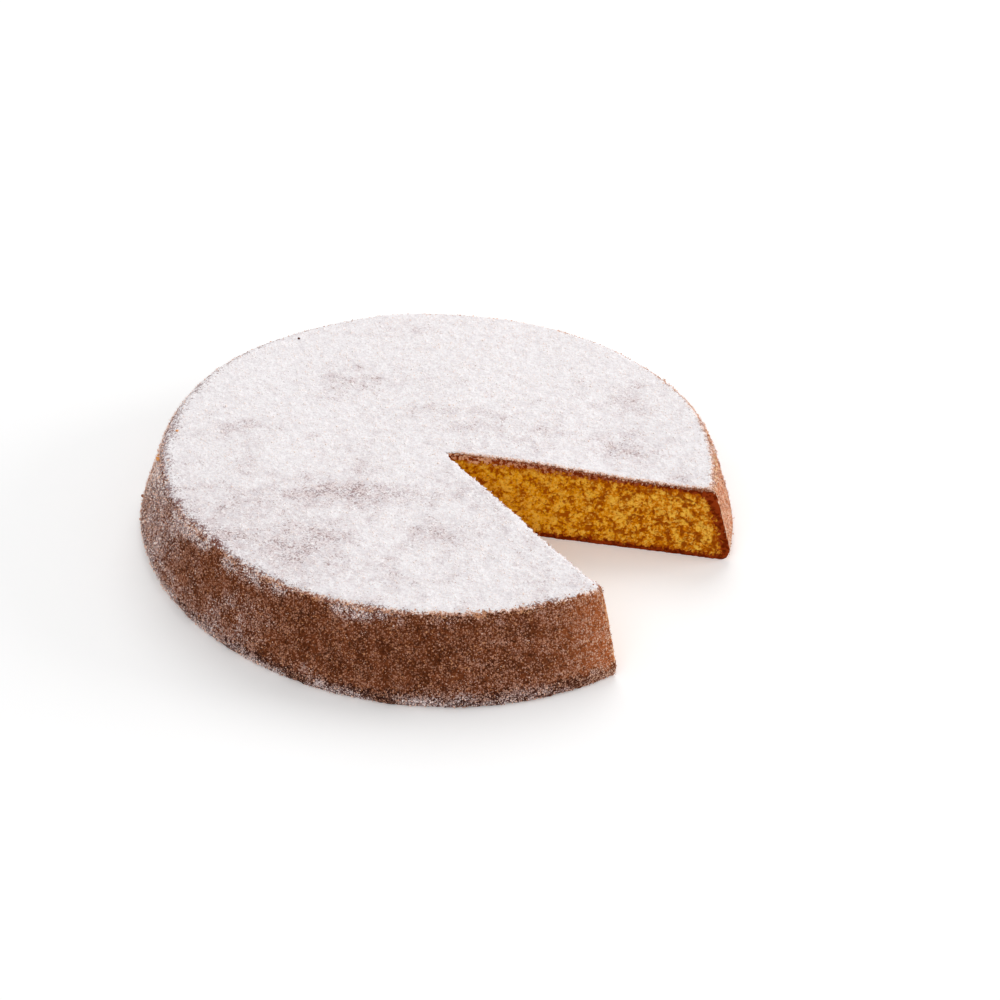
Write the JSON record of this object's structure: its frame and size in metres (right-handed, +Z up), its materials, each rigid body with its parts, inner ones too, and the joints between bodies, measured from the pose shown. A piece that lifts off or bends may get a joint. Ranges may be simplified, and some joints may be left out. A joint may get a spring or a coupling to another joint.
{
  "type": "lemon caprese cake",
  "caption": "Low round lemon and almond cake with flared sides, a rounded rim and a flat top dusted with icing sugar, with a slice cut out.",
  "frame": {"origin": "on the table, under the middle of the cake's box", "axes": "+Z up; the cut-out slice's space opens towards +X and -Y, between about 12 and 57 degrees clockwise from +X seen from above"},
  "size_m": [0.2391, 0.2409, 0.0363],
  "materials": {
    "crust": "matte brown baked crust under a fine dusting of icing sugar",
    "icing_sugar": "dry matte white powder",
    "crumb": "moist granular yellow crumb, slightly glossy on the granules"
  },
  "bodies": {
    "root": {"cake": "crust"}
  },
  "joints": []
}
